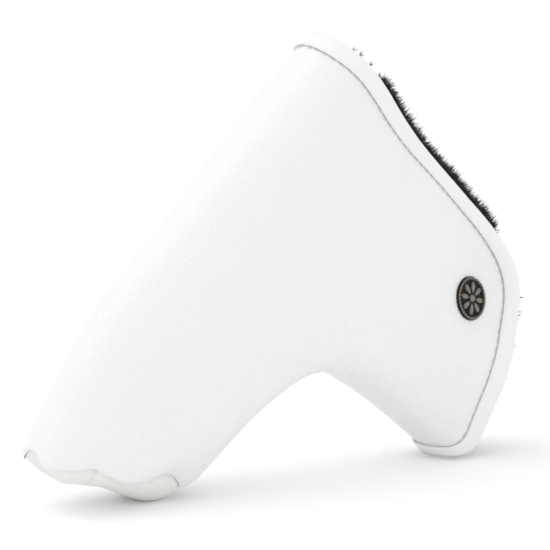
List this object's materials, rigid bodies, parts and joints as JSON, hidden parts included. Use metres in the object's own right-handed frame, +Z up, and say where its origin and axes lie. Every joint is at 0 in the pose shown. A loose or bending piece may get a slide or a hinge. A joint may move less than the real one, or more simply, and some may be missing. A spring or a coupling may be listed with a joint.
{
  "type": "putter head cover",
  "caption": "L-shaped padded leather boot for a blade putter head, with a plush lining, bound mouth, two flexing mouth walls and a snap.",
  "frame": {"origin": "centre of the footprint box at the floor, in the boot's mid-plane", "axes": "+X from the toe towards the neck, +Y across the thickness away from the cap side, +Z up as it stands on its toe gusset and neck tip"},
  "size_m": [0.1828, 0.039, 0.1478],
  "materials": {
    "white_leather": "white pebble-grain synthetic leather, semi-matt",
    "binding_leather": "white smooth synthetic leather band, semi-matt",
    "gusset_leather": "off-white synthetic leather, matt",
    "foam": "soft padding foam, hidden",
    "plush": "black plush pile",
    "thread": "grey sewing thread",
    "gunmetal": "dark antique plate",
    "nickel_brass": "plated brass, bright"
  },
  "bodies": {
    "pocket": {"outer_shell": "white_leather", "body_padding": "foam", "body_lining": "plush", "toe_gusset": "gusset_leather", "toe_padding": "foam", "toe_lining": "plush", "top_fold_binding": "binding_leather", "top_fold_stitching": "thread", "neck_tip_binding": "binding_leather", "neck_tip_stitching": "thread"},
    "near_flap": {"near_flap_leather": "white_leather", "near_flap_padding": "foam", "near_flap_lining": "plush", "near_flap_binding": "binding_leather", "near_flap_stitching": "thread", "snap_cap": "gunmetal", "snap_socket": "nickel_brass"},
    "far_flap": {"far_flap_leather": "white_leather", "far_flap_padding": "foam", "far_flap_lining": "plush", "far_flap_binding": "binding_leather", "far_flap_stitching": "thread", "snap_post": "gunmetal", "snap_stud": "nickel_brass"}
  },
  "joints": [
    {"name": "near_flap_open", "type": "hinge", "parent": "pocket", "child": "near_flap", "pos_m": [0.0467, -0.019, 0.0745], "axis": [0.3566, 0, -0.9343], "range_deg": [0, 30], "stiffness_Nm_per_rad": 0.05},
    {"name": "far_flap_open", "type": "hinge", "parent": "pocket", "child": "far_flap", "pos_m": [0.0467, 0.019, 0.0745], "axis": [-0.3566, 0, 0.9343], "range_deg": [0, 30], "stiffness_Nm_per_rad": 0.05}
  ]
}
